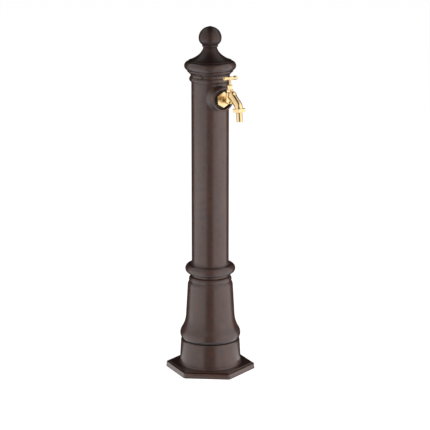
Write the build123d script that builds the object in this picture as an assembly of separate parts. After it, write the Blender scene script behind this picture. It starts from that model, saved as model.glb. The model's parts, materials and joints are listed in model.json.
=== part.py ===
from build123d import *
from math import acos, atan, cos, degrees, radians, sin
import os

os.makedirs("parts", exist_ok=True)

# Garden standpipe in millimetres, +Z up. The origin is on the ground, on the column's axis,
# and the tap points along -Y. Threads are plain: the inner one in a slightly larger hole.

# Clearances
overrun = 1.0
running_gap = 0.05
thread_gap = 0.1
slip_gap = 0.3
bolt_gap = 0.5
rest_gap = 0.1

# The angle between the middle of a hexagon's flat and its corner
half_corner = 30.0

# Foot: a six-sided slab and a round drum, cast in one and open underneath
foot_width = 181.0
foot_corner = 8.0
foot_turn = -35.0
slab_side = 11.2
slab_draft = 1.0
slab_ledge = 5.7
slab_step = 2.8
slab_step_round = 0.8
slab_rim = 7.0
slab_skin = 6.0
drum_height = 59.6
drum_low_over = 5.4
drum_high_over = 2.7
drum_root = 3.5
drum_lip = 6.0
joint_radius = 65.4
joint_gap_depth = 2.0
joint_gap_height = 1.4
foot_wall = 7.0
foot_plate = 10.0
anchor_radius = 4.0
anchor_circle_radius = 84.0
anchor_depth = 10.0
anchor_boss_radius = 9.0
anchor_count = 3
anchor_start = -60.0
bolt_count = 3
foot_bolt_start = 30.0
column_bolt_start = 90.0

# Pedestal: bottom bead, flared bell, shoulder and small crown bead
bead_bulge = 4.3
bead_height = 22.5
bead_top_step = 1.5
flare_height = 33.0
taper_height = 71.5
shoulder_height = 9.0
crown_groove = 0.9
crown_height = 11.9
bell_waist_over = 13.7
bell_top_over = 9.6
shoulder_over = 6.3
crown_line_over = 5.7
crown_bulge_over = 6.65
seat_over = 2.3
bell_wall = 6.8
pedestal_plate = 16.0
lug_radius = 10.0
lug_height = 20.0
lug_depth = 17.0

# Column: ring moulding at the foot, tube, turned seat for the cap at the top
column_radius = 42.5
column_wall = 5.0
ring_height = 28.4
ring_low = 6.7
ring_over = 4.3
ring_cove = 6.4
shaft_height = 417.4
seat_step = 2.0
seat_length = 23.0
flange_height = 14.0
flange_depth = 12.0
spigot_wall = 5.0
spigot_length = 5.0

# Tap boss on the column
tap_drop = 32.6
boss_radius = 26.9
boss_draft = 2.5
boss_fillet = 3.0
boss_over = 17.8
rim_width = 4.5
rim_dish = 10.1
pad_radius = 17.0
pad_height = 4.5

# Cap: collar bead, neck, cornice, round moulding and hollow-sided roof
collar_bulge = 3.0
collar_height = 11.6
neck_wall = 3.6
neck_height = 5.0
cornice_height = 9.9
cornice_over = 7.4
cornice_band = 2.8
cornice_groove = 0.8
torus_height = 19.5
torus_crest = 9.9
torus_over = 14.2
roof_over = 4.9
roof_groove = 1.2
roof_edge = 2.2
roof_height = 29.6
roof_curve_shares = (0.15, 0.35)
roof_top_radius = 15.2
cap_wall = 8.0
roof_wall = 6.0
cap_crown = 12.0
cap_room_rise = 5.0
screw_height_share = 0.8
screw_count = 3
cap_turn = -141.0
screw_radius = 4.0
screw_pocket_radius = 5.8
screw_recess = 1.2
screw_socket_width = 4.0
screw_socket_depth = 3.0
dog_radius = 2.75
dog_length = 3.0

# Finial: neck bead and ball with a slightly pointed top
finial_height = 47.6
bead_ring_radius = 18.0
bead_ring_height = 5.2
bead_groove = 0.5
ball_radius = 25.8
ball_drop = 26.8
point_radius = 10.9
bead_crest_share = 0.65
ball_foot_slope = (0.77, 0.64)
point_slope = (-1, 0.35)

# Standard fasteners: shank radius, hexagon across flats, head height, washer radius, washer height
m6_radius = 3.0
m6_width = 10.0
m6_head = 4.0
m6_washer_radius = 6.0
m6_washer = 1.6
m8_radius = 4.0
m8_width = 13.0
m8_head = 5.3
m8_washer_radius = 8.0
m8_washer = 1.6
m10_radius = 5.0
m10_width = 16.0
m10_nut = 8.0
m10_washer_radius = 10.0
m10_washer = 2.0
thread_spare = 1.5

# Water pipe in the column
pipe_radius = 10.65
pipe_bore = 8.0
pipe_room = 10.0
thread_length = 16.0
fitting_wall = 3.2
fitting_bead = 1.6
fitting_bead_length = 7.0
elbow_reach = 30.0
coupling_length = 36.0
coupling_lift = 10.0
coupling_rib = 2.0
plate_thickness = 3.0
grommet_neck = 3.2
grommet_lip = 2.6
grommet_lip_height = 2.0

# Tap inlet, nut and washer
shank_radius = 8.33
shank_bore = 5.2
shank_engaged = 15.0
shank_proud = 1.2
neck_radius = 6.9
washer_room = 0.8
washer_thickness = 4.8
washer_edge = 1.0
back_nut_width = 31.0
back_nut_height = 6.5
nut_bevel = 1.1

# Tap body: valve chamber, hump and spout
chamber_over = 27.7
chamber_radius = 9.6
chamber_top = 21.0
chamber_bottom = 6.0
chamber_shoulder = 1.4
chamber_room = 6.6
inlet_bore = 4.5
seat_bore = 4.0
seat_height = 7.5
seat_rim = 1.0
seat_rim_width = 1.2
facing_radius = 9.0
facing_height = 8.0
hump_radius = 9.2
hump_forward = 10.8
hump_rise = 16.2
spout_radius = 8.9
spout_bore = 6.3
spout_start_rise = 10.5
spout_knee_forward = 13.0
spout_knee_rise = 12.6
spout_knee_bend = 20.0
spout_foot_bend = 11.0
spout_foot_run = 5.5
outlet_forward = 38.6
outlet_drop = 9.2
outlet_lean = 7.0
outlet_thread_radius = 10.4
outlet_thread_length = 3.2

# Union nut, hose tail and its washer
union_width = 27.0
union_height = 7.4
union_lip = 2.4
hose_washer_thickness = 1.0
tail_flange = 1.2
tail_radius = 6.8
tail_bore = 5.0
tail_length = 21.6
tail_collar = 0.6
tail_shoulder = 0.3
tail_chamfer = 0.6

# Valve: seat washer, jumper and its nut
valve_washer_radius = 5.2
valve_washer_thickness = 2.2
jumper_disc = 2.0
jumper_pin_radius = 1.5
jumper_pin_length = 6.0
jumper_stud_radius = 1.0
jumper_nut_width = 3.6
jumper_nut_height = 1.6

# Spindle, bonnet, gland and tee handle
valve_lift = 3.5
valve_play = 0.4
bonnet_width = 13.8
bonnet_hex = 5.2
bonnet_washer_thickness = 0.8
bonnet_engaged = 4.5
bonnet_neck_radius = 4.25
bonnet_neck_height = 8.0
packing_radius = 3.5
packing_height = 5.5
gland_width = 10.4
gland_height = 10.0
gland_set = 0.3
gland_bevel = 1.2
stem_radius = 2.4
spindle_thread_radius = 4.0
spindle_thread_height = 5.0
spindle_square = 3.2
square_gap = 0.05
square_height = 5.0
stem_rise = 50.1
handle_half = 17.2
handle_hub_radius = 3.9
handle_waist_radius = 3.4
handle_waist_place = 8.2
handle_bulge_radius = 4.7
handle_bulge_place = 13.0
handle_end_radius = 2.8
handle_end_slope = (-1, 0.4)
handle_collar_radius = 3.4
handle_collar_drop = 4.8
handle_screw_radius = 1.0
handle_screw_head = 1.9
handle_screw_head_height = 1.3
handle_screw_length = 6.0
handle_screw_slot = 0.6

# Heights of the joints up the standpipe
slab_height = slab_side + slab_step
foot_top = slab_height + drum_height
pedestal_height = bead_height + flare_height + taper_height + shoulder_height + crown_groove + crown_height
pedestal_top = foot_top + pedestal_height
column_shoulder = pedestal_top + ring_height + ring_cove + shaft_height
column_top = column_shoulder + seat_length
tap_z = column_shoulder - tap_drop
neck_z = column_shoulder + collar_height
cornice_z = neck_z + neck_height
torus_z = cornice_z + cornice_height
roof_z = torus_z + torus_height
cap_top = roof_z + roof_edge + roof_height
total_height = cap_top + finial_height

# Radii worked out from the ones above
drum_low_radius = joint_radius + drum_low_over
drum_high_radius = joint_radius + drum_high_over
column_bore = column_radius - column_wall
pad_face = column_bore - pad_height
boss_reach = column_radius + boss_over
chamber_reach = boss_reach + chamber_over
washer_radius = boss_radius - rim_width - washer_room
seat_radius = column_radius - seat_step
skirt_bore = seat_radius + slip_gap
neck_outer = skirt_bore + neck_wall
cornice_radius = neck_outer + cornice_over
torus_radius = neck_outer + torus_over
pedestal_seat_radius = column_radius + seat_over
drum_bore = joint_radius - foot_wall
bell_room = column_radius + bell_top_over - bell_wall
spigot_bore = pipe_radius + pipe_room
spigot_radius = spigot_bore + spigot_wall
column_bolt_circle = (spigot_radius + slip_gap + bell_room) / 2
foot_bolt_circle = drum_bore - m8_washer_radius - slip_gap
foot_hole_radius = foot_bolt_circle - m8_washer_radius - bolt_gap * 2
pipe_hole = pipe_radius + thread_gap
shank_hole = shank_radius + thread_gap
fitting_radius = pipe_hole + fitting_wall


# Shapes used again and again

def rod(radius, low, high):
    """A round bar on the local Z between two heights."""
    return Pos(0, 0, low) * Cylinder(radius, high - low, align=(Align.CENTER, Align.CENTER, Align.MIN))


def ring(outer, inner, low, high):
    """A washer on the local Z between two heights."""
    return rod(outer, low, high) - rod(inner, low - overrun, high + overrun)


def turned(*edges):
    """A solid turned about the local Z from the edges of its closed half outline, as (radius, height)."""
    return revolve(Plane.XZ * make_face(edges), Axis.Z, 360)


def stepped(*points):
    """A solid turned about the local Z from the corners of its half outline."""
    return turned(Polyline(*points, close=True))


def hexagon(flats, low, high, turn=0):
    """A six-sided bar on the local Z, with a flat towards the local Y."""
    outline = RegularPolygon(flats / 2, 6, major_radius=False, rotation=turn)
    return Pos(0, 0, low) * extrude(outline, high - low)


def bevelled(flats, low, high, bevel, turn=0):
    """A six-sided bar whose corners are turned off at both ends."""
    corner = flats / 2 / cos(radians(half_corner))
    blank = stepped(
        (0, low),
        (corner - bevel, low),
        (corner, low + bevel / 2),
        (corner, high - bevel / 2),
        (corner - bevel, high),
        (0, high),
    )
    return hexagon(flats, low, high, turn) & blank


def around(count, radius, start, solid):
    """Copies of a solid, moved out to a circle and spread evenly round it from a start angle."""
    return [Rot(0, 0, start + 360 / count * i) * Pos(radius, 0, 0) * solid for i in range(count)]


def carve(solid, cutters):
    for cutter in cutters:
        solid -= cutter
    return solid


def join(solid, additions):
    for addition in additions:
        solid += addition
    return solid


def hex_bolt(radius, flats, head, length):
    """A bolt on the local Z: its head hangs below zero and its shank stands up from it."""
    return hexagon(flats, -head, 0) + rod(radius, 0, length)


def across(reach):
    """The plane square to the tap's inlet, this far out from the column's axis."""
    return Plane(origin=(0, -reach, tap_z), x_dir=(1, 0, 0), z_dir=(0, -1, 0))


valve_axis = Pos(0, -chamber_reach, tap_z)
side = Plane(origin=(0, -chamber_reach, tap_z), x_dir=(0, -1, 0), z_dir=(-1, 0, 0))
outlet_flow = (0, -sin(radians(outlet_lean)), -cos(radians(outlet_lean)))
outlet_centre = (0, -chamber_reach - outlet_forward, tap_z - outlet_drop)
outlet = Plane(origin=outlet_centre, x_dir=(1, 0, 0), z_dir=outlet_flow)


# Foot

def slab(flats, corner, low, high, draft=0):
    """The foot's six-sided plate with rounded upright edges, its sides leaning in by the draft."""
    outline = RegularPolygon(flats / 2, 6, major_radius=False, rotation=foot_turn)
    outline = fillet(outline.vertices(), corner)
    return Pos(0, 0, low) * extrude(outline, high - low, taper=degrees(atan(draft / (high - low))))


def foot_part():
    lower = slab(foot_width, foot_corner, 0, slab_side, slab_draft)
    upper = slab(foot_width - 2 * slab_ledge, foot_corner - slab_ledge, slab_side, slab_height)
    upper = fillet(upper.edges().group_by(Axis.Z)[-1], slab_step_round)
    root_centre = (drum_low_radius + drum_root, slab_height + drum_root)
    gap_low = foot_top - joint_gap_height
    gap_radius = joint_radius - joint_gap_depth
    drum = turned(
        Line((0, slab_side), (drum_low_radius + drum_root, slab_side)),
        Line((drum_low_radius + drum_root, slab_side), (drum_low_radius + drum_root, slab_height)),
        CenterArc(root_centre, drum_root, 180, 90),
        Line((drum_low_radius, slab_height + drum_root), (drum_high_radius, foot_top - drum_lip)),
        TangentArc((drum_high_radius, foot_top - drum_lip), (joint_radius, gap_low), tangent=(0, 1)),
        Line((joint_radius, gap_low), (gap_radius, gap_low)),
        Line((gap_radius, gap_low), (gap_radius, foot_top)),
        Line((gap_radius, foot_top), (0, foot_top)),
        Line((0, foot_top), (0, slab_side)),
    )
    solid = lower + upper + drum
    pocket = slab(foot_width - 2 * slab_rim, foot_corner, -overrun, slab_height - slab_skin)
    pocket -= rod(drum_low_radius, -overrun, slab_height)
    boss = rod(anchor_boss_radius, -overrun, slab_height)
    pocket = carve(pocket, around(anchor_count, anchor_circle_radius, foot_turn + anchor_start, boss))
    solid -= pocket
    solid -= rod(drum_bore, -overrun, foot_top - foot_plate)
    solid -= rod(foot_hole_radius, 0, foot_top + overrun)
    anchor_hole = rod(anchor_radius, -overrun, anchor_depth)
    solid = carve(solid, around(anchor_count, anchor_circle_radius, foot_turn + anchor_start, anchor_hole))
    bolt_hole = rod(m8_radius + bolt_gap, 0, foot_top + overrun)
    return carve(solid, around(bolt_count, foot_bolt_circle, foot_bolt_start, bolt_hole))


# Pedestal

def pedestal_part():
    bead_z = foot_top + bead_height
    waist_z = bead_z + flare_height
    bell_z = waist_z + taper_height
    groove_z = bell_z + shoulder_height
    crown_z = groove_z + crown_groove
    bead_top = joint_radius + bead_top_step
    waist = column_radius + bell_waist_over
    bell_top = column_radius + bell_top_over
    shoulder = column_radius + shoulder_over
    crown_line = column_radius + crown_line_over
    crown = column_radius + crown_bulge_over
    taper = (waist - bell_top, -taper_height)
    solid = turned(
        Line((0, foot_top), (joint_radius, foot_top)),
        ThreePointArc(
            (joint_radius, foot_top),
            (joint_radius + bead_bulge, foot_top + bead_height / 2),
            (bead_top, bead_z),
        ),
        TangentArc((waist, waist_z), (bead_top, bead_z), tangent=taper),
        Line((waist, waist_z), (bell_top, bell_z)),
        TangentArc((bell_top, bell_z), (shoulder, groove_z), tangent=(0, 1)),
        Line((shoulder, groove_z), (crown_line, crown_z)),
        ThreePointArc(
            (crown_line, crown_z),
            (crown, crown_z + crown_height / 2),
            (pedestal_seat_radius, pedestal_top),
        ),
        Line((pedestal_seat_radius, pedestal_top), (0, pedestal_top)),
        Line((0, pedestal_top), (0, foot_top)),
    )
    ceiling = pedestal_top - pedestal_plate
    room = turned(
        Line((0, foot_top - overrun), (joint_radius - bell_wall, foot_top - overrun)),
        Line((joint_radius - bell_wall, foot_top - overrun), (joint_radius - bell_wall, bead_z)),
        TangentArc((waist - bell_wall, waist_z), (joint_radius - bell_wall, bead_z), tangent=taper),
        Line((waist - bell_wall, waist_z), (bell_room, bell_z)),
        Line((bell_room, bell_z), (bell_room, ceiling)),
        Line((bell_room, ceiling), (0, ceiling)),
        Line((0, ceiling), (0, foot_top - overrun)),
    )
    lug = rod(lug_radius, foot_top, foot_top + lug_height)
    solid = join(solid - room, around(bolt_count, foot_bolt_circle, foot_bolt_start, lug))
    lug_hole = rod(m8_radius + thread_gap, foot_top - overrun, foot_top + lug_depth)
    solid = carve(solid, around(bolt_count, foot_bolt_circle, foot_bolt_start, lug_hole))
    solid -= rod(spigot_radius + slip_gap, foot_top, pedestal_top + overrun)
    plate_hole = rod(m6_radius + bolt_gap, foot_top, pedestal_top + overrun)
    return carve(solid, around(bolt_count, column_bolt_circle, column_bolt_start, plate_hole))


# Column with its tap boss

def boss_solid():
    """The deep round cup that the tap seats in, its axis along the tap's inlet."""
    root = boss_radius + boss_draft
    round_reach = boss_reach - rim_width / 2
    dish = boss_reach - rim_dish
    crest = boss_radius - rim_width / 2
    inner = boss_radius - rim_width
    outline = turned(
        Line((0, 0), (root, 0)),
        Line((root, 0), (boss_radius, round_reach)),
        ThreePointArc((boss_radius, round_reach), (crest, boss_reach), (inner, round_reach)),
        Line((inner, round_reach), (inner, dish)),
        Line((inner, dish), (0, dish)),
        Line((0, dish), (0, 0)),
    )
    return across(0) * outline


def column_part():
    ring_bottom = pedestal_top + ring_low
    ring_top = pedestal_top + ring_height
    ring_round = (ring_top - ring_bottom) / 2
    ring_centre = column_radius + ring_over
    gap_top = pedestal_top + joint_gap_height
    gap_radius = pedestal_seat_radius - joint_gap_depth
    solid = turned(
        Line((0, pedestal_top), (gap_radius, pedestal_top)),
        Line((gap_radius, pedestal_top), (gap_radius, gap_top)),
        Line((gap_radius, gap_top), (pedestal_seat_radius, gap_top)),
        Line((pedestal_seat_radius, gap_top), (pedestal_seat_radius, ring_bottom)),
        Line((pedestal_seat_radius, ring_bottom), (ring_centre, ring_bottom)),
        ThreePointArc(
            (ring_centre, ring_bottom),
            (ring_centre + ring_round, ring_bottom + ring_round),
            (ring_centre, ring_top),
        ),
        TangentArc((column_radius, ring_top + ring_cove), (ring_centre, ring_top), tangent=(0, -1)),
        Line((column_radius, ring_top + ring_cove), (column_radius, column_shoulder)),
        Line((column_radius, column_shoulder), (seat_radius, column_shoulder)),
        Line((seat_radius, column_shoulder), (seat_radius, column_top)),
        Line((seat_radius, column_top), (0, column_top)),
        Line((0, column_top), (0, pedestal_top)),
    )
    boss = boss_solid() & rod(boss_reach * 2, pedestal_top, column_shoulder - slip_gap)
    with_boss = solid + boss
    solid = fillet(new_edges(solid, boss, combined=with_boss), boss_fillet)
    solid += rod(spigot_radius, pedestal_top - spigot_length, pedestal_top)
    solid -= rod(column_bore, pedestal_top + flange_height, column_top + overrun)
    solid -= rod(spigot_bore, 0, column_top)
    solid += across(0) * rod(pad_radius, pad_face, column_radius - column_wall / 2)
    solid -= across(0) * rod(shank_hole, 0, boss_reach + overrun)
    flange_hole = rod(m6_radius + thread_gap, pedestal_top - overrun, pedestal_top + flange_depth)
    solid = carve(solid, around(bolt_count, column_bolt_circle, column_bolt_start, flange_hole))
    screw_hole = rod(dog_radius + thread_gap, 0, seat_radius + overrun)
    for i in range(screw_count):
        turn = cap_turn + 360 / screw_count * i
        solid -= Pos(0, 0, screw_z()) * Rot(0, 0, turn) * Rot(0, 90, 0) * screw_hole
    return solid


# Cap and its screws

def screw_z():
    return neck_z + neck_height * screw_height_share


def cap_part():
    edge_z = roof_z + roof_edge
    roof_radius = neck_outer + roof_over
    eave = roof_radius - roof_groove
    curve_radius, curve_z = roof_curve_shares
    solid = turned(
        Line((0, column_shoulder), (column_radius, column_shoulder)),
        ThreePointArc(
            (column_radius, column_shoulder),
            (neck_outer + collar_bulge, column_shoulder + collar_height / 2),
            (neck_outer, neck_z),
        ),
        Polyline(
            (neck_outer, neck_z),
            (neck_outer, cornice_z),
            (cornice_radius, torus_z - cornice_band),
            (cornice_radius, torus_z),
            (cornice_radius - cornice_groove, torus_z),
        ),
        ThreePointArc(
            (cornice_radius - cornice_groove, torus_z),
            (torus_radius, torus_z + torus_crest),
            (roof_radius, roof_z),
        ),
        Line((roof_radius, roof_z), (eave, roof_z)),
        ThreePointArc((eave, roof_z), (roof_radius, roof_z + roof_edge / 2), (eave, edge_z)),
        Bezier(
            (eave, edge_z),
            (
                roof_top_radius + (eave - roof_top_radius) * curve_radius,
                edge_z + roof_height * curve_z,
            ),
            (roof_top_radius, cap_top),
        ),
        Line((roof_top_radius, cap_top), (0, cap_top)),
        Line((0, cap_top), (0, column_shoulder)),
    )
    hollow = torus_radius - cap_wall
    hollow_top = roof_z - cap_wall
    attic = roof_z - roof_wall
    crown = cap_top - cap_crown
    room = stepped(
        (0, column_shoulder - overrun),
        (skirt_bore, column_shoulder - overrun),
        (skirt_bore, column_top + overrun),
        (hollow, torus_z + cap_room_rise),
        (hollow, hollow_top),
        (skirt_bore, attic),
        (roof_top_radius, crown),
        (0, crown),
    )
    solid -= room
    solid -= rod(m10_radius + bolt_gap, crown - overrun, cap_top + overrun)
    pocket = rod(screw_pocket_radius, neck_outer - screw_recess, torus_radius)
    screw_hole = rod(screw_radius + thread_gap, seat_radius - overrun, torus_radius)
    for i in range(screw_count):
        turn = cap_turn + 360 / screw_count * i
        place = Pos(0, 0, screw_z()) * Rot(0, 0, turn) * Rot(0, 90, 0)
        solid -= place * pocket
        solid -= place * screw_hole
    return solid


def cap_screw_parts():
    """Grub screws with a hexagon socket and a dog point that enters the column's seat."""
    outer = neck_outer - screw_recess
    screw = rod(screw_radius, seat_radius + slip_gap / 2, outer)
    screw += rod(dog_radius, seat_radius + slip_gap / 2 - dog_length, outer)
    screw -= hexagon(screw_socket_width, outer - screw_socket_depth, outer + overrun)
    turns = [cap_turn + 360 / screw_count * i for i in range(screw_count)]
    return [Pos(0, 0, screw_z()) * Rot(0, 0, turn) * Rot(0, 90, 0) * screw for turn in turns]


# Finial and what holds it

def finial_part():
    bead_top = cap_top + bead_ring_height
    groove_radius = bead_ring_radius - bead_groove
    ball_z = total_height - ball_drop
    crown_angle = degrees(acos(point_radius / ball_radius))
    crown_slope = (-sin(radians(crown_angle)), cos(radians(crown_angle)))
    point_z = ball_z + ball_radius * sin(radians(crown_angle))
    solid = turned(
        Line((0, cap_top), (roof_top_radius, cap_top)),
        ThreePointArc(
            (roof_top_radius, cap_top),
            (bead_ring_radius, cap_top + bead_ring_height * bead_crest_share),
            (groove_radius, bead_top),
        ),
        Spline((groove_radius, bead_top), (ball_radius, ball_z), tangents=(ball_foot_slope, (0, 1))),
        CenterArc((0, ball_z), ball_radius, 0, crown_angle),
        Spline((point_radius, point_z), (0, total_height), tangents=(crown_slope, point_slope)),
        Line((0, total_height), (0, cap_top)),
    )
    return solid - rod(m10_radius + thread_gap, cap_top - overrun, cap_top + ball_radius - thread_spare)


def finial_fixings():
    """The stud, washer and nut that pull the finial down on the cap from inside."""
    crown = cap_top - cap_crown
    washer = ring(m10_washer_radius, m10_radius + thread_gap, crown - m10_washer, crown)
    nut_top = crown - m10_washer
    nut = bevelled(m10_width, nut_top - m10_nut, nut_top, nut_bevel)
    nut -= rod(m10_radius + thread_gap, nut_top - m10_nut - overrun, nut_top + overrun)
    stud = rod(m10_radius, nut_top - m10_nut - thread_spare, cap_top + ball_radius - 2 * thread_spare)
    return {"finial_washer": washer, "finial_nut": nut, "finial_stud": stud}


# Bolts that hold column, pedestal and foot together, all reached from underneath

def frame_fixings():
    ceiling = pedestal_top - pedestal_plate
    upper_seat = ceiling - m6_washer
    upper_length = pedestal_plate + m6_washer + flange_depth - thread_spare
    upper = hex_bolt(m6_radius, m6_width, m6_head, upper_length)
    upper_washer = ring(m6_washer_radius, m6_radius + thread_gap, 0, m6_washer)
    lower_seat = foot_top - foot_plate - plate_thickness - m8_washer
    lower_length = foot_plate + plate_thickness + m8_washer + lug_depth - thread_spare
    lower = hex_bolt(m8_radius, m8_width, m8_head, lower_length)
    lower_washer = ring(m8_washer_radius, m8_radius + thread_gap, 0, m8_washer)
    at_column = (bolt_count, column_bolt_circle, column_bolt_start)
    at_foot = (bolt_count, foot_bolt_circle, foot_bolt_start)
    return {
        "column_bolts": around(*at_column, Pos(0, 0, upper_seat) * upper),
        "column_washers": around(*at_column, Pos(0, 0, upper_seat) * upper_washer),
        "foot_bolts": around(*at_foot, Pos(0, 0, lower_seat) * lower),
        "foot_washers": around(*at_foot, Pos(0, 0, lower_seat) * lower_washer),
    }


# Water pipe

def pipe_plate_parts():
    """A steel plate under the foot's top plate, with the rubber grommet that steadies the pipe."""
    plate_top = foot_top - foot_plate
    plate_low = plate_top - plate_thickness
    grommet_radius = pipe_radius + running_gap + grommet_neck
    plate = ring(drum_bore - slip_gap * 2, grommet_radius + running_gap, plate_low, plate_top)
    bolt_hole = rod(m8_radius + bolt_gap, plate_low - overrun, plate_top + overrun)
    plate = carve(plate, around(bolt_count, foot_bolt_circle, foot_bolt_start, bolt_hole))
    grommet = rod(grommet_radius, plate_low - grommet_lip_height, plate_top + grommet_lip_height)
    lip_radius = grommet_radius + grommet_lip
    grommet += rod(lip_radius, plate_low - grommet_lip_height, plate_low)
    grommet += rod(lip_radius, plate_top, plate_top + grommet_lip_height)
    grommet -= rod(pipe_radius + running_gap, 0, foot_top)
    return {"pipe_plate": plate, "pipe_grommet": grommet}


def elbow_part():
    """A bent fitting: one arm to the tap's inlet, one down to the riser pipe."""
    down = Pos(0, 0, tap_z) * Rot(180, 0, 0)
    bead_radius = fitting_radius + fitting_bead
    solid = Pos(0, 0, tap_z) * Sphere(fitting_radius)
    solid += across(0) * rod(fitting_radius, 0, pad_face)
    solid += across(0) * rod(bead_radius, pad_face - fitting_bead_length, pad_face)
    solid += down * rod(fitting_radius, 0, elbow_reach)
    solid += down * rod(bead_radius, elbow_reach - fitting_bead_length, elbow_reach)
    solid -= across(0) * rod(pipe_bore, 0, pad_face + overrun)
    solid -= across(0) * rod(shank_hole, pad_face - thread_length, pad_face + overrun)
    solid -= down * rod(pipe_bore, 0, elbow_reach)
    return solid - down * rod(pipe_hole, elbow_reach - thread_length, elbow_reach + overrun)


def riser_parts():
    """The riser pipe and its coupling, whose lower end is left open for the supply pipe."""
    rib_low = coupling_lift + (coupling_length - coupling_rib) / 2
    rib_high = rib_low + coupling_rib
    pipe_top = tap_z - elbow_reach + thread_length - thread_spare
    riser = ring(pipe_radius, pipe_bore, rib_high, pipe_top)
    top = coupling_lift + coupling_length
    coupling = rod(fitting_radius, coupling_lift, top)
    coupling += rod(fitting_radius + fitting_bead, coupling_lift, coupling_lift + fitting_bead_length)
    coupling += rod(fitting_radius + fitting_bead, top - fitting_bead_length, top)
    coupling -= rod(pipe_bore, 0, top)
    coupling -= rod(pipe_hole, 0, rib_low)
    coupling -= rod(pipe_hole, rib_high, top + overrun)
    return {"riser_pipe": riser, "pipe_coupling": coupling}


# Tap inlet

def inlet_parts():
    """The rubber washer on the boss and the brass nut that presses it."""
    low = boss_reach - rim_dish
    high = low + washer_thickness
    washer = stepped(
        (shank_hole, low),
        (washer_radius, low),
        (washer_radius, high - washer_edge),
        (washer_radius - washer_edge, high),
        (shank_hole, high),
    )
    nut = bevelled(back_nut_width, high, high + back_nut_height, nut_bevel, turn=half_corner)
    nut -= rod(shank_hole, high - overrun, high + back_nut_height + overrun)
    return {"flange_washer": across(0) * washer, "back_nut": across(0) * nut}


# Tap body

def spout_path(past=0):
    """The spout's centre line: up to the hump and down, leaning out, to the outlet or some way past it."""
    lean = radians(outlet_lean)
    points = [
        (0, spout_start_rise),
        (spout_knee_forward, spout_knee_rise),
        (outlet_forward - spout_foot_run * sin(lean), spout_foot_run * cos(lean) - outlet_drop),
        (outlet_forward + past * sin(lean), -past * cos(lean) - outlet_drop),
    ]
    return side * FilletPolyline(*points, radius=[spout_knee_bend, spout_foot_bend])


def along(path, radius):
    """A round bar that follows the spout."""
    start = Plane(origin=path @ 0, z_dir=path % 0)
    return sweep(start * Circle(radius), path=path)


def tap_body_part():
    nut_front = boss_reach - rim_dish + washer_thickness + back_nut_height
    shank_start = pad_face - shank_engaged
    chamber = turned(
        Line((0, -chamber_bottom), (0, chamber_top)),
        Line((0, chamber_top), (chamber_radius - chamber_shoulder, chamber_top)),
        TangentArc(
            (chamber_radius, chamber_top - chamber_shoulder * 2),
            (chamber_radius - chamber_shoulder, chamber_top),
            tangent=(0, 1),
        ),
        Line((chamber_radius, chamber_top - chamber_shoulder * 2), (chamber_radius, inlet_bore)),
        Spline((chamber_radius, inlet_bore), (0, -chamber_bottom), tangents=((0, -1), (-1, 0))),
    )
    solid = valve_axis * chamber
    solid += across(0) * rod(shank_radius, shank_start, nut_front + shank_proud)
    solid += across(0) * rod(neck_radius, shank_start, chamber_reach)
    solid += valve_axis * Pos(0, -hump_forward, hump_rise) * Sphere(hump_radius)
    solid += along(spout_path(), spout_radius)
    solid += outlet * rod(outlet_thread_radius, 0, outlet_thread_length)
    solid -= valve_axis * rod(facing_radius, chamber_top, chamber_top + facing_height)
    solid -= across(0) * rod(shank_bore, shank_start - overrun, chamber_reach - chamber_radius)
    solid -= across(0) * rod(inlet_bore, shank_start, chamber_reach)
    solid -= valve_axis * rod(seat_bore, 0, chamber_top)
    rim_radius = seat_bore + seat_rim_width
    solid -= valve_axis * ring(chamber_room, rim_radius, seat_height - seat_rim, chamber_top)
    solid -= valve_axis * rod(chamber_room, seat_height, chamber_top + overrun)
    bore = along(spout_path(outlet_thread_length + overrun), spout_bore)
    return solid - (bore - valve_axis * rod(chamber_room, -chamber_bottom, seat_height))


# Union nut, hose tail and washer at the outlet

def outlet_parts():
    washer_low = outlet_thread_length
    flange_low = washer_low + hose_washer_thickness
    lip_low = flange_low + tail_flange
    nut_low = lip_low + union_lip - union_height
    nut = bevelled(union_width, nut_low, nut_low + union_height, nut_bevel)
    nut -= rod(outlet_thread_radius + thread_gap, nut_low - overrun, lip_low)
    collar_radius = tail_radius + tail_collar
    collar_end = lip_low + union_lip + tail_shoulder
    nut -= rod(collar_radius + running_gap, nut_low, nut_low + union_height + overrun)
    washer = ring(outlet_thread_radius - running_gap, spout_bore, washer_low, flange_low)
    tail_end = lip_low + union_lip + tail_length
    tail = rod(outlet_thread_radius - running_gap, flange_low, lip_low)
    tail += stepped(
        (0, flange_low),
        (collar_radius, flange_low),
        (collar_radius, collar_end),
        (tail_radius, collar_end),
        (tail_radius, tail_end - tail_chamfer),
        (tail_radius - tail_chamfer, tail_end),
        (0, tail_end),
    )
    tail -= rod(tail_bore, flange_low - overrun, tail_end + overrun)
    return {"union_nut": outlet * nut, "hose_washer": outlet * washer, "hose_tail": outlet * tail}


# Valve

def valve_parts():
    washer_low = seat_height + rest_gap
    disc_low = washer_low + valve_washer_thickness
    disc_top = disc_low + jumper_disc
    washer = ring(valve_washer_radius, jumper_stud_radius + running_gap, washer_low, disc_low)
    jumper = rod(valve_washer_radius, disc_low, disc_top)
    jumper += rod(jumper_pin_radius, disc_top, disc_top + jumper_pin_length)
    jumper += rod(jumper_stud_radius, washer_low - jumper_nut_height, disc_low)
    nut = hexagon(jumper_nut_width, washer_low - jumper_nut_height, washer_low)
    nut -= rod(jumper_stud_radius + running_gap, washer_low - jumper_nut_height - overrun, disc_low)
    return {
        "tap_washer": valve_axis * washer,
        "jumper": valve_axis * jumper,
        "jumper_nut": valve_axis * nut,
    }


# Spindle, bonnet and gland

def spindle_low():
    disc_top = seat_height + rest_gap + valve_washer_thickness + jumper_disc
    return disc_top + rest_gap


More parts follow.
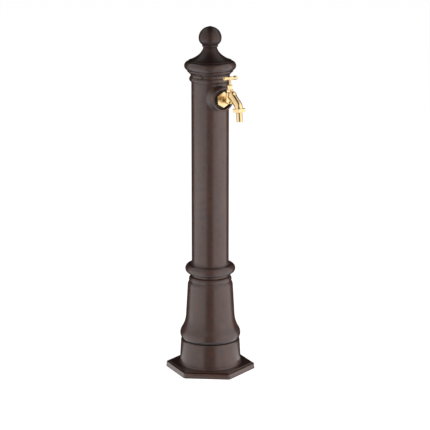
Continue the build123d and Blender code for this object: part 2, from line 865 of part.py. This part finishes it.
def spindle_part():
    low = spindle_low()
    bonnet_low = chamber_top + bonnet_washer_thickness - bonnet_engaged
    thread_low = bonnet_low + valve_play
    solid = rod(stem_radius, low, stem_rise)
    solid += rod(spindle_thread_radius, thread_low, thread_low + spindle_thread_height)
    square = Pos(0, 0, stem_rise) * Box(
        spindle_square, spindle_square, square_height, align=(Align.CENTER, Align.CENTER, Align.MIN)
    )
    solid += square
    pin_hole = rod(jumper_pin_radius + running_gap, low - overrun, low + jumper_pin_length + valve_play)
    screw_hole = rod(
        handle_screw_radius + thread_gap,
        stem_rise + square_height - handle_screw_length,
        stem_rise + square_height + overrun,
    )
    return valve_axis * (solid - pin_hole - screw_hole)


def bonnet_parts():
    washer_top = chamber_top + bonnet_washer_thickness
    low = washer_top - bonnet_engaged
    hex_top = washer_top + bonnet_hex
    neck_top = hex_top + bonnet_neck_height
    thread_room = low + valve_play + spindle_thread_height + valve_lift + valve_play
    washer = ring(chamber_radius - chamber_shoulder, chamber_room + thread_gap, chamber_top, washer_top)
    bonnet = rod(chamber_room - thread_gap, low, washer_top)
    bonnet += bevelled(bonnet_width, washer_top, hex_top, nut_bevel / 2)
    bonnet += rod(bonnet_neck_radius, hex_top, neck_top)
    bonnet -= rod(spindle_thread_radius + running_gap, low - overrun, thread_room)
    bonnet -= rod(stem_radius + running_gap, low, neck_top + overrun)
    bonnet -= rod(packing_radius, neck_top - packing_height, neck_top + overrun)
    packing = ring(
        packing_radius - running_gap, stem_radius + running_gap, neck_top - packing_height, neck_top
    )
    gland_low = hex_top + gland_set
    gland = bevelled(gland_width, gland_low, gland_low + gland_height, gland_bevel)
    gland -= rod(bonnet_neck_radius + thread_gap, gland_low - overrun, neck_top)
    gland -= rod(stem_radius + running_gap, gland_low, gland_low + gland_height + overrun)
    return {
        "bonnet_washer": valve_axis * washer,
        "bonnet": valve_axis * bonnet,
        "gland_packing": valve_axis * packing,
        "gland_nut": valve_axis * gland,
    }


# Tee handle

def handle_parts():
    bar_z = stem_rise + square_height / 2 + square_gap
    half = turned(
        Line((0, 0), (handle_hub_radius, 0)),
        Spline(
            (handle_hub_radius, 0),
            (handle_waist_radius, handle_waist_place),
            (handle_bulge_radius, handle_bulge_place),
            (handle_end_radius, handle_half),
            tangents=((0, 1), handle_end_slope),
        ),
        Line((handle_end_radius, handle_half), (0, handle_half)),
        Line((0, handle_half), (0, 0)),
    )
    bar = Rot(0, 90, 0) * half + Rot(0, -90, 0) * half
    solid = Pos(0, 0, bar_z) * bar
    solid += rod(handle_collar_radius, bar_z - handle_collar_drop, bar_z)
    top = bar_z + handle_hub_radius
    collar_low = bar_z - handle_collar_drop
    solid -= rod(stem_radius + running_gap, collar_low - overrun, stem_rise)
    hole = spindle_square + 2 * square_gap
    square = Pos(0, 0, stem_rise) * Box(
        hole, hole, square_height, align=(Align.CENTER, Align.CENTER, Align.MIN)
    )
    solid -= square
    solid -= rod(handle_screw_radius + thread_gap, stem_rise, top + overrun)
    head_low = top - handle_screw_head_height
    solid -= rod(handle_screw_head + running_gap, head_low, top + overrun)
    screw = rod(handle_screw_radius, head_low - handle_screw_length, top - rest_gap)
    screw += rod(handle_screw_head, head_low, top - rest_gap)
    slot = Pos(0, 0, top) * Box(
        handle_screw_head * 3, handle_screw_slot, handle_screw_head_height
    )
    return {"tee_handle": valve_axis * solid, "handle_screw": valve_axis * (screw - slot)}


# Write every piece

parts = {
    "foot": foot_part(),
    "pedestal": pedestal_part(),
    "column": column_part(),
    "cap": cap_part(),
    "cap_screws": cap_screw_parts(),
    "finial": finial_part(),
    "pipe_elbow": elbow_part(),
    "tap_body": tap_body_part(),
    "spindle": spindle_part(),
}
for group in (
    finial_fixings(),
    frame_fixings(),
    pipe_plate_parts(),
    riser_parts(),
    inlet_parts(),
    outlet_parts(),
    valve_parts(),
    bonnet_parts(),
    handle_parts(),
):
    parts.update(group)

for name, shape in parts.items():
    if isinstance(shape, list):
        shape = Compound(children=[piece for item in shape for piece in item.solids()])
    export_step(shape, f"parts/{name}.step")
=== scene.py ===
import json
import math

import bmesh
import bpy
import numpy as np
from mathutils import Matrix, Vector
from mathutils.bvhtree import BVHTree


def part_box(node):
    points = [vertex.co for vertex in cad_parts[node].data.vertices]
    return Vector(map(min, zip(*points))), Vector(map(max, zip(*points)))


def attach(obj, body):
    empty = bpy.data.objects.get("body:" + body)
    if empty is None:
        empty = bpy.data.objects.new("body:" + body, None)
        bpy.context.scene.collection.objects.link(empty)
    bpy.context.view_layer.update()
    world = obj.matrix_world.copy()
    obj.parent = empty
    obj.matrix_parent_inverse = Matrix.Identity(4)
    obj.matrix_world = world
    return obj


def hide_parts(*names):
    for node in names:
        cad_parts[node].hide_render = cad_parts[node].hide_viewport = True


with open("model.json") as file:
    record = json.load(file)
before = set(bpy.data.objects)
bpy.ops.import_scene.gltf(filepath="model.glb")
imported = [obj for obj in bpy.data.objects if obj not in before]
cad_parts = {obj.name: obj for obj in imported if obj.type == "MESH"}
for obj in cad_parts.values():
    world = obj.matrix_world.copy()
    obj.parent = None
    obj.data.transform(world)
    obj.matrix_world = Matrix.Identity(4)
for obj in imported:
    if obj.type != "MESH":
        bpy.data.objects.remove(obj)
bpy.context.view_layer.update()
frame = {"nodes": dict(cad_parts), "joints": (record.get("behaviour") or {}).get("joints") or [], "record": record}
nodes = frame["nodes"]


# Places on the standpipe, read from the frame, in metres
roof_rise = 0.0318
ball_neck = 0.004
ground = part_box("foot")[0].z
valve_axis = Vector(next(j["pos_m"] for j in frame["joints"] if j["type"] == "hinge"))
inlet_height = sum(corner.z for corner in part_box("back_nut")) / 2
roof_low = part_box("cap")[1].z - roof_rise
ball_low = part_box("cap")[1].z + ball_neck


def add_object(name, data):
    """A new object in the scene that shows the data."""
    thing = bpy.data.objects.new(name, data)
    bpy.context.scene.collection.objects.link(thing)
    return thing


# Shader maths: a Mix node's colour sockets share their names, so they are picked by place
mix_share = 0
mix_first = 6
mix_second = 7
mix_result = 2
white = (1.0, 1.0, 1.0, 1.0)
seen_rays = ("Is Camera Ray", "Is Glossy Ray", "Is Transmission Ray")


class Wire:
    """A socket's value in a material, with sums written as expressions."""

    def __init__(self, shader, socket):
        self.shader = shader
        self.socket = socket

    def maths(self, operation, *others):
        return self.shader.node("ShaderNodeMath", {"operation": operation}, [self, *others])

    def __add__(self, other):
        return self.maths("ADD", other)

    def __sub__(self, other):
        return self.maths("SUBTRACT", other)

    def __mul__(self, other):
        return self.maths("MULTIPLY", other)

    def __rsub__(self, other):
        return self.shader.node("ShaderNodeMath", {"operation": "SUBTRACT"}, [other, self])

    __radd__ = __add__
    __rmul__ = __mul__

    def clamped(self):
        """Kept within 0 and 1."""
        return self.shader.node("ShaderNodeClamp", {}, [self, 0.0, 1.0])

    def between(self, low, high):
        """0 below low, 1 above high and a soft step from one to the other."""
        settings = {"interpolation_type": "SMOOTHSTEP"}
        inputs = {"Value": self, "From Min": low, "From Max": high}
        return self.shader.node("ShaderNodeMapRange", settings, inputs)


class Shader:
    """The node tree of a material or of the world."""

    def __init__(self, owner, output):
        self.owner = owner
        owner.use_nodes = True
        self.tree = owner.node_tree
        self.tree.nodes.clear()
        self.output = self.tree.nodes.new(output)

    def node(self, kind, settings, inputs, output=0):
        """Adds a node: its settings first, then its sockets, by name or in order. Returns one output."""
        node = self.tree.nodes.new(kind)
        for name, value in settings.items():
            setattr(node, name, value)
        pairs = inputs.items() if isinstance(inputs, dict) else enumerate(inputs)
        for name, value in pairs:
            if isinstance(value, Wire):
                self.tree.links.new(value.socket, node.inputs[name])
            else:
                node.inputs[name].default_value = value
        return Wire(self, node.outputs[output])

    def place(self):
        """The point on the piece, in the piece's own metres."""
        return self.node("ShaderNodeTexCoord", {}, {}, "Object")

    def stretched(self, place, scale):
        """The place scaled along each axis, to draw a pattern out."""
        return self.node("ShaderNodeMapping", {}, {"Vector": place, "Scale": scale})

    def noise(self, place, scale, detail, roughness=0.55):
        inputs = {"Vector": place, "Scale": scale, "Detail": detail, "Roughness": roughness}
        return self.node("ShaderNodeTexNoise", {}, inputs, "Fac")

    def mix(self, share, first, second):
        """Goes from the first colour to the second as share goes from 0 to 1."""
        first, second = (c if isinstance(c, Wire) else (*c, 1.0) for c in (first, second))
        sockets = {mix_share: share, mix_first: first, mix_second: second}
        return self.node("ShaderNodeMix", {"data_type": "RGBA"}, sockets, mix_result)

    def upwards(self, vector):
        """A vector's upward part."""
        return self.node("ShaderNodeSeparateXYZ", {}, [vector], "Z")

    def openness(self, distance, inside=False):
        """1 in the open, less where another surface is nearer than the distance, outside or inside."""
        settings = {"samples": 8, "inside": inside}
        return self.node("ShaderNodeAmbientOcclusion", settings, {"Distance": distance}, "AO")

    def bump(self, height, distance, strength):
        inputs = {"Strength": strength, "Distance": distance, "Height": height}
        return self.node("ShaderNodeBump", {}, inputs)

    def seen(self):
        """1 for the rays of the camera, gloss and glass, and 0 for light that bounces."""
        camera, gloss, glass = (self.node("ShaderNodeLightPath", {}, {}, rays) for rays in seen_rays)
        return camera.maths("MAXIMUM", gloss).maths("MAXIMUM", glass)

    def glow(self, strength):
        """White light given off."""
        return self.node("ShaderNodeEmission", {}, {"Color": white, "Strength": strength})

    def show(self, surface):
        """Sends the finished shader to the output, and returns what it belongs to."""
        self.tree.links.new(surface.socket, self.output.inputs["Surface"])
        return self.owner

    def finish(self, varying, steady):
        """The surface's shader: varying sockets take wires, steady ones take plain numbers."""
        return self.show(self.node("ShaderNodeBsdfPrincipled", {}, {**steady, **varying}))


def new_shader(name):
    return Shader(bpy.data.materials.new(name), "ShaderNodeOutputMaterial")


# Finishes

# Paint colours, darkest last
worn_edge = (0.150, 0.048, 0.022)
rusty_patch = (0.102, 0.042, 0.026)
light_brown = (0.084, 0.044, 0.034)
plain_brown = (0.071, 0.036, 0.027)
streak_brown = (0.060, 0.036, 0.032)
bluish_patch = (0.044, 0.030, 0.029)
# Painted sheen: a bluish grey for faces that look down, standing in for light reflected from the floor
painted_sheen_grey = (0.040, 0.036, 0.040)
# Painted shade: a darker brown for the cap's top and the finial, as if less light fell on them from above
painted_shade_brown = (0.020, 0.011, 0.008)
# Dirt and painted shade: a dark brown for hollows that other surfaces crowd
dirt_and_shade_brown = (0.020, 0.010, 0.007)
# Painted shade: near black for the joints between castings and other tight creases
painted_crease_black = (0.006, 0.003, 0.002)

# How far the paint's dirt and painted shade, painted shade in joints and creases, worn edges, blends and relief
# reach, in metres
dirt_and_shade_reach = 0.010
painted_crease_reach = 0.005
edge_reach = 0.004
roof_blend = 0.002
ball_blend = 0.003
paint_relief = 0.00035


def painted_iron():
    """Chocolate-brown satin paint on a rough casting: streaky, redder at edges, with dirt and painted shade in
    hollows, painted shade in joints and creases and on the cap's top, and a painted sheen on faces that look down.
    """
    shader = new_shader("painted_iron")
    place = shader.place()
    clouds = shader.noise(place, scale=9.0, detail=4.0)
    streaks = shader.noise(shader.stretched(place, (90.0, 90.0, 9.0)), scale=1.0, detail=4.0)
    patches = shader.noise(place, scale=75.0, detail=5.0, roughness=0.65)
    pits = shader.noise(place, scale=260.0, detail=3.0)
    grain = shader.noise(place, scale=900.0, detail=2.0)
    facing = shader.node("ShaderNodeNewGeometry", {}, {}, "Normal")
    height = shader.upwards(place)

    # Dirt and painted shade: darker, rougher and less coated where other surfaces lie within reach
    dirt_and_shade = 1.0 - shader.openness(dirt_and_shade_reach).between(0.35, 0.9)
    # Painted shade: near black where another surface is very close, in joints and creases
    painted_crease_shade = 1.0 - shader.openness(painted_crease_reach).between(0.52, 0.88)
    thin = (1.0 - shader.openness(edge_reach, inside=True).between(0.4, 0.92)) * (pits * 0.9 + 0.5)
    # Painted sheen: faces that look down turn bluish grey, as if they reflected the floor
    painted_sheen_below = 1.0 - shader.upwards(facing).between(-0.55, 0.0)
    roof = height.between(roof_low - roof_blend, roof_low + roof_blend)
    ball = height.between(ball_low - ball_blend, ball_low + ball_blend)
    # Painted shade: the cap's roof is darkened, and the finial a little less, as if less light fell there from
    # above; the coat is thinner there too
    painted_top_shade = roof * (1.0 - ball * 0.3)

    brown = shader.mix(clouds.between(0.35, 0.7), plain_brown, light_brown)
    layers = (
        (streaks.between(0.4, 0.7) * 0.7, streak_brown),
        (patches.between(0.5, 0.72) * 0.55, rusty_patch),
        ((1.0 - patches.between(0.3, 0.5)) * 0.6, bluish_patch),
        # painted sheen on faces that look down
        (painted_sheen_below * 0.7, painted_sheen_grey),
        ((thin * 0.75).clamped(), worn_edge),
        # dirt and painted shade in hollows
        (dirt_and_shade * 0.6, dirt_and_shade_brown),
        # painted shade in joints and creases
        (painted_crease_shade * 0.9, painted_crease_black),
        # painted shade on the cap's top and the finial
        (painted_top_shade * 0.62, painted_shade_brown),
    )
    for share, colour in layers:
        brown = shader.mix(share, brown, colour)

    roughness = 0.33 + (streaks - 0.5) * 0.14 + (pits - 0.5) * 0.1 + dirt_and_shade * 0.2
    lacquer = 0.85 - painted_top_shade * 0.75 - dirt_and_shade * 0.3
    varying = {
        "Base Color": brown,
        "Roughness": roughness.clamped(),
        "Coat Weight": lacquer.clamped(),
        "Normal": shader.bump(pits * 0.6 + grain * 0.4, paint_relief, strength=0.55),
    }
    steady = {"IOR": 1.3, "Coat Roughness": 0.27, "Specular Tint": (0.95, 0.93, 1.0, 1.0)}
    return shader.finish(varying, steady)


# Brass: the colour of its hollows, and its reaches in metres
hollow_brass = (0.34, 0.16, 0.04)
hollow_reach = 0.004
brass_relief = 0.00012


def brass(name, plain_roughness, hollow_share, pale, deep):
    """Brass with a faint tarnish, polish marks and duller hollows."""
    shader = new_shader(name)
    place = shader.place()
    tarnish = shader.noise(place, scale=60.0, detail=4.0)
    polish = shader.noise(shader.stretched(place, (2500.0, 2500.0, 300.0)), scale=1.0, detail=2.0)
    waves = shader.noise(place, scale=320.0, detail=2.0)
    dull = 1.0 - shader.openness(hollow_reach).between(0.35, 0.9)
    gold = shader.mix(tarnish.between(0.4, 0.7), pale, deep)
    gold = shader.mix(dull * hollow_share, gold, hollow_brass)
    roughness = plain_roughness + tarnish * 0.08 + (polish - 0.5) * 0.05 + dull * 0.2
    relief = shader.bump(waves * 0.8 + polish * 0.2, brass_relief, strength=0.5)
    varying = {"Base Color": gold, "Roughness": roughness.clamped(), "Normal": relief}
    return shader.finish(varying, {"Metallic": 1.0})


# Relief of the fine finishes, in metres
fine_relief = 0.0001
spangle_relief = 0.0002


def fine_finish(name, colours, mottle, grain, strength, roughness, spread, steady):
    """A colour that drifts with a mottle, a roughness that goes with it and a fine grain."""
    shader = new_shader(name)
    place = shader.place()
    cloud = shader.noise(place, scale=mottle, detail=3.0)
    relief = shader.bump(shader.noise(place, scale=grain, detail=2.0), fine_relief, strength)
    varying = {
        "Base Color": shader.mix(cloud, *colours),
        "Roughness": roughness + cloud * spread,
        "Normal": relief,
    }
    return shader.finish(varying, steady)


def black_rubber():
    """Matt moulded rubber."""
    return fine_finish(
        "black_rubber",
        colours=((0.012, 0.012, 0.012), (0.026, 0.025, 0.024)),
        mottle=220.0,
        grain=1800.0,
        strength=0.6,
        roughness=0.55,
        spread=0.15,
        steady={"IOR": 1.5},
    )


def zinc_steel():
    """Bright zinc plate."""
    return fine_finish(
        "zinc_steel",
        colours=((0.50, 0.51, 0.53), (0.66, 0.66, 0.66)),
        mottle=150.0,
        grain=1500.0,
        strength=0.4,
        roughness=0.3,
        spread=0.12,
        steady={"Metallic": 1.0},
    )


def blackened_steel():
    """Dark oiled steel, for the cap screws."""
    return fine_finish(
        "blackened_steel",
        colours=((0.055, 0.045, 0.042), (0.11, 0.10, 0.098)),
        mottle=400.0,
        grain=2500.0,
        strength=0.5,
        roughness=0.32,
        spread=0.15,
        steady={"Metallic": 0.7},
    )


def galvanised_iron():
    """Dull zinc with spangles."""
    shader = new_shader("galvanised_iron")
    place = shader.place()
    spangle = shader.node("ShaderNodeTexVoronoi", {}, {"Vector": place, "Scale": 120.0}, "Color")
    tint = shader.node("ShaderNodeRGBToBW", {}, [spangle])
    grain = shader.noise(place, scale=900.0, detail=3.0)
    grey = shader.mix(tint, (0.40, 0.42, 0.44), (0.60, 0.62, 0.63))
    relief = shader.bump(grain, spangle_relief, strength=0.5)
    varying = {"Base Color": grey, "Roughness": 0.42 + tint * 0.15, "Normal": relief}
    return shader.finish(varying, {"Metallic": 1.0})


def red_fibre():
    """Pressed fibre with flat-lying threads."""
    shader = new_shader("red_fibre")
    drawn_out = shader.stretched(shader.place(), (500.0, 500.0, 2500.0))
    threads = shader.noise(drawn_out, scale=1.0, detail=3.0)
    red = shader.mix(threads, (0.26, 0.05, 0.03), (0.46, 0.14, 0.09))
    relief = shader.bump(threads, fine_relief, strength=0.7)
    varying = {"Base Color": red, "Roughness": 0.7 + threads * 0.15, "Normal": relief}
    return shader.finish(varying, {})


finishes = {
    "painted_iron": painted_iron(),
    "brass": brass("satin_brass", 0.19, 0.7, pale=(0.97, 0.71, 0.37), deep=(0.93, 0.64, 0.29)),
    "black_rubber": black_rubber(),
    "zinc_steel": zinc_steel(),
    "black_steel": blackened_steel(),
    "galvanised_iron": galvanised_iron(),
    "fibre": red_fibre(),
}
machined_brass = brass("machined_brass", 0.27, 0.3, pale=(1.0, 0.76, 0.42), deep=(0.97, 0.70, 0.35))
machined = ("back_nut", "union_nut", "bonnet", "gland_nut")
record = frame["record"]
slots = {row["node"]: row["material_slot"] for row in record["subparts"]}
bodies = {node: body for body, held in record["behaviour"]["bodies"].items() for node in held}
for node, piece in nodes.items():
    piece.data.materials.clear()
    piece.data.materials.append(machined_brass if node in machined else finishes[slots[node]])


# Tap body: the chamber, hump and spout run into each other, as in a casting

# Lengths in metres, and the shares and rounds of the smoothing
merge_distance = 1e-6
cell_size = 0.00045
crease_offset = 0.009
crease_reach = 0.026
fade_share = 0.35
hole_reach = 0.015
hole_start = 0.0003
hole_facing = -0.6
hole_margin_rounds = 6
fill_rounds = 90
rise_share = 0.9
slide_share = 0.4
easing_rounds = 3
easing_share = 0.5


def merged_copy(node):
    """A mesh with a CAD node's shape, its split edges joined."""
    copy = bmesh.new()
    copy.from_mesh(nodes[node].data)
    bmesh.ops.remove_doubles(copy, verts=copy.verts[:], dist=merge_distance)
    mesh = bpy.data.meshes.new(node)
    copy.to_mesh(mesh)
    copy.free()
    return mesh


def remade(mesh):
    """The same shape as an even mesh of small cells."""
    holder = add_object("holder", mesh)
    remesh = holder.modifiers.new("remesh", "REMESH")
    remesh.mode = "VOXEL"
    remesh.voxel_size = cell_size
    shown = holder.evaluated_get(bpy.context.evaluated_depsgraph_get())
    even = bpy.data.meshes.new_from_object(shown)
    bpy.data.objects.remove(holder)
    bpy.data.meshes.remove(mesh)
    return even


def read_rows(items, name, width, kind):
    """A property of all a mesh's points or edges, one row each."""
    values = np.zeros(len(items) * width, kind)
    items.foreach_get(name, values)
    return values.reshape(-1, width)


def move_points(mesh, points):
    """Puts a mesh's points at new places."""
    mesh.vertices.foreach_set("co", points.astype(np.float32).ravel())
    mesh.update()


def inside_holes(mesh, points, normals):
    """1 for each point whose normal meets a facing wall close by, as a bore's does, and else 0."""
    corners = [Vector(point) for point in points]
    tree = BVHTree.FromPolygons(corners, [list(face.vertices) for face in mesh.polygons])
    hidden = np.zeros((len(points), 1))
    for index, (corner, normal) in enumerate(zip(corners, normals)):
        outwards = Vector(normal)
        _, wall, _, _ = tree.ray_cast(corner + outwards * hole_start, outwards, hole_reach)
        if wall is not None and wall.dot(outwards) < hole_facing:
            hidden[index] = 1.0
    return hidden


def fill_creases(mesh, centre):
    """Fills the inner corners near the centre, as fillets do, and eases the whole surface a little."""
    points = read_rows(mesh.vertices, "co", 3, np.float32).astype(float)
    edges = read_rows(mesh.edges, "vertices", 2, np.int32)
    counts = np.bincount(edges.ravel(), minlength=len(points))[:, None]

    def point_normals():
        return read_rows(mesh.vertices, "normal", 3, np.float32).astype(float)

    def neighbour_mean(values):
        total = np.zeros_like(values)
        np.add.at(total, edges[:, 0], values[edges[:, 1]])
        np.add.at(total, edges[:, 1], values[edges[:, 0]])
        return total / counts

    hidden = inside_holes(mesh, points, point_normals())
    for _ in range(hole_margin_rounds):
        hidden = np.maximum(hidden, neighbour_mean(hidden))
    away = np.linalg.norm(points - np.array(centre), axis=1)[:, None]
    weight = np.clip((crease_reach - away) / (crease_reach * fade_share), 0, 1) * (1 - hidden)
    for _ in range(fill_rounds):
        step = neighbour_mean(points) - points
        normals = point_normals()
        rise = np.sum(step * normals, axis=1)[:, None]
        slide = step - rise * normals
        points += weight * (np.maximum(rise, 0) * normals * rise_share + slide * slide_share)
        move_points(mesh, points)
    for _ in range(easing_rounds):
        points += easing_share * (neighbour_mean(points) - points)
    move_points(mesh, points)


def add_piece(name, mesh, node):
    """A finer piece that stands for a CAD node and moves and is finished as it is."""
    mesh.materials.clear()
    mesh.materials.append(finishes[slots[node]])
    mesh.polygons.foreach_set("use_smooth", [True] * len(mesh.polygons))
    piece = add_object(name, mesh)
    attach(piece, bodies[node])
    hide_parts(node)


body_mesh = remade(merged_copy("tap_body"))
fill_creases(body_mesh, (0.0, valve_axis.y - crease_offset, inlet_height + crease_offset))
add_piece("cast_tap_body", body_mesh, "tap_body")


# Stage: a pale floor, soft boxes at both sides and in front, and cards that only the gloss shows

# The camera. Angles beside it are in degrees to its side's right, lengths in metres, lamps in watts
camera_turn = math.radians(-120.0)
camera_distance = 4.2045
camera_height = 1.4035
camera_pitch = 0.2422
camera_yaw = -0.0026
camera_lens = 158.41
sensor_width = 36.0
camera_reach = 100.0

# The world's light and the floor's
seen_light = 1.0
world_light = 0.06
floor_tone = 0.8
floor_glow = 0.945
floor_bounce = 0.27
floor_reach = 40.0
floor_drop = 0.0002

# The cards: their light, the walls and floors at front and back, the right one and the ceiling's
dark_light = 0.004
grey_light = 0.06
pale_light = 0.85
bright_light = 1.25
card_lift = 0.0015
card_start = 0.13
card_wall = 3.6
front_middle = -2.0
front_half = 19.0
front_top = 8.0
back_middle = 180.0
back_half = 64.0
back_top = 3.0
right_middle = 75.0
right_half = 38.0
right_distance = 0.7
right_top = 1.3
strip_height = 2.2
strip_corners = ((45.0, 3.4), (135.0, 3.4), (225.0, 3.4), (315.0, 3.4))
ceiling_height = 2.15
ceiling_corners = ((9.5, 3.04), (48.6, 4.5), (131.4, 4.5), (170.5, 3.04))


def beside_view(angle, distance, height):
    """A point on the stage, by its angle from the camera's side and its distance from the column."""
    turn = camera_turn + math.radians(angle)
    return Vector((math.cos(turn) * distance, math.sin(turn) * distance, height))


def add_camera():
    """A long lens from the front left that looks down a little."""
    camera = add_object("camera", bpy.data.cameras.new("camera"))
    camera.location = beside_view(0.0, camera_distance, camera_height)
    turn = camera_turn + math.pi / 2 + camera_yaw
    camera.rotation_euler = (math.pi / 2 - camera_pitch, 0.0, turn)
    camera.data.sensor_width = sensor_width
    camera.data.lens = camera_lens
    camera.data.clip_end = camera_reach
    bpy.context.scene.camera = camera


def add_soft_box(name, place, size, power, aim_height):
    """A lamp that lights the paint but doesn't show in the gloss, where the cards and the floor do."""
    light = bpy.data.lights.new(name, "AREA")
    light.shape = "RECTANGLE"
    light.size, light.size_y = size
    light.energy = power
    lamp = add_object(name, light)
    lamp.location = beside_view(*place)
    aim = Vector((0.0, 0.0, aim_height)) - lamp.location
    lamp.rotation_euler = aim.to_track_quat("-Z", "Y").to_euler()
    lamp.visible_glossy = False


def floor_material():
    """Pale floor: its own light lifts it to white for the camera, and the contact shadow stays."""
    shader = new_shader("pale_floor")
    glow = shader.glow(shader.seen() * (floor_glow - floor_bounce) + floor_bounce)
    tone = (floor_tone, floor_tone, floor_tone, 1.0)
    matt = shader.node("ShaderNodeBsdfDiffuse", {}, {"Color": tone})
    return shader.show(shader.node("ShaderNodeAddShader", {}, [glow, matt]))


def card_material(name, light):
    """An even sheet of light."""
    shader = new_shader(name)
    return shader.show(shader.glow(light))


def add_sheet(name, corners, material):
    """A flat sheet that belongs to the stage and not to the standpipe."""
    mesh = bpy.data.meshes.new(name)
    mesh.from_pydata(corners, [], [list(range(len(corners)))])
    mesh.materials.append(material)
    sheet = add_object(name, mesh)
    return sheet


def add_card(name, corners, material):
    """A card that only gloss shows."""
    card = add_sheet(name, corners, material)
    card.visible_camera = False
    card.visible_diffuse = False
    card.visible_shadow = False


def add_world():
    """White for the camera, gloss and glass, and dim as a light."""
    world = bpy.data.worlds.new("studio")
    bpy.context.scene.world = world
    shader = Shader(world, "ShaderNodeOutputWorld")
    strength = shader.seen() * (seen_light - world_light) + world_light
    shader.show(shader.node("ShaderNodeBackground", {}, {"Color": white, "Strength": strength}))


def wedge(middle, half, near, far, height):
    """Corners of a level card that widens with its distance."""
    places = ((-half, near), (-half, far), (half, far), (half, near))
    return [beside_view(middle + side, distance, height) for side, distance in places]


def upright(middle, half, distance, low, high):
    """Corners of a standing card."""
    places = ((-half, low), (half, low), (half, high), (-half, high))
    return [beside_view(middle + side, distance, height) for side, height in places]


def level(corners, height, side=1):
    """Corners of a level card, by angle and reach, on the right or, with -1, on the left."""
    return [beside_view(side * angle, reach, height) for angle, reach in corners]


add_camera()
add_world()
floor_sides = ((-1, -1), (1, -1), (1, 1), (-1, 1))
floor_height = ground - floor_drop
floor_corners = [(x * floor_reach, y * floor_reach, floor_height) for x, y in floor_sides]
add_sheet("floor", floor_corners, floor_material())
add_soft_box("soft_box_left", (-74.0, 2.2, 0.4), size=(1.6, 1.0), power=24.0, aim_height=0.35)
add_soft_box("soft_box_right", (66.0, 2.2, 0.4), size=(1.4, 1.0), power=38.0, aim_height=0.35)
add_soft_box("soft_box_front", (0.0, 3.0, 0.5), size=(1.0, 0.8), power=16.0, aim_height=0.4)

dark_card = card_material("dark_card", dark_light)
grey_card = card_material("grey_card", grey_light)
pale_card = card_material("pale_card", pale_light)
bright_card = card_material("bright_card", bright_light)
front = (front_middle, front_half)
back = (back_middle, back_half)
add_card("front_floor_card", wedge(*front, card_start, card_wall, card_lift), dark_card)
add_card("front_card", upright(*front, card_wall, 0.0, front_top), dark_card)
add_card("back_floor_card", wedge(*back, card_start, card_wall, card_lift), dark_card)
add_card("back_card", upright(*back, card_wall, 0.0, back_top), dark_card)
add_card("right_card", upright(right_middle, right_half, right_distance, 0.0, right_top), bright_card)
add_card("right_ceiling_card", level(ceiling_corners, ceiling_height), pale_card)
add_card("left_ceiling_card", level(ceiling_corners, ceiling_height, side=-1), pale_card)
add_card("ceiling_card", level(strip_corners, strip_height), grey_card)

bpy.context.scene.view_settings.view_transform = "Standard"
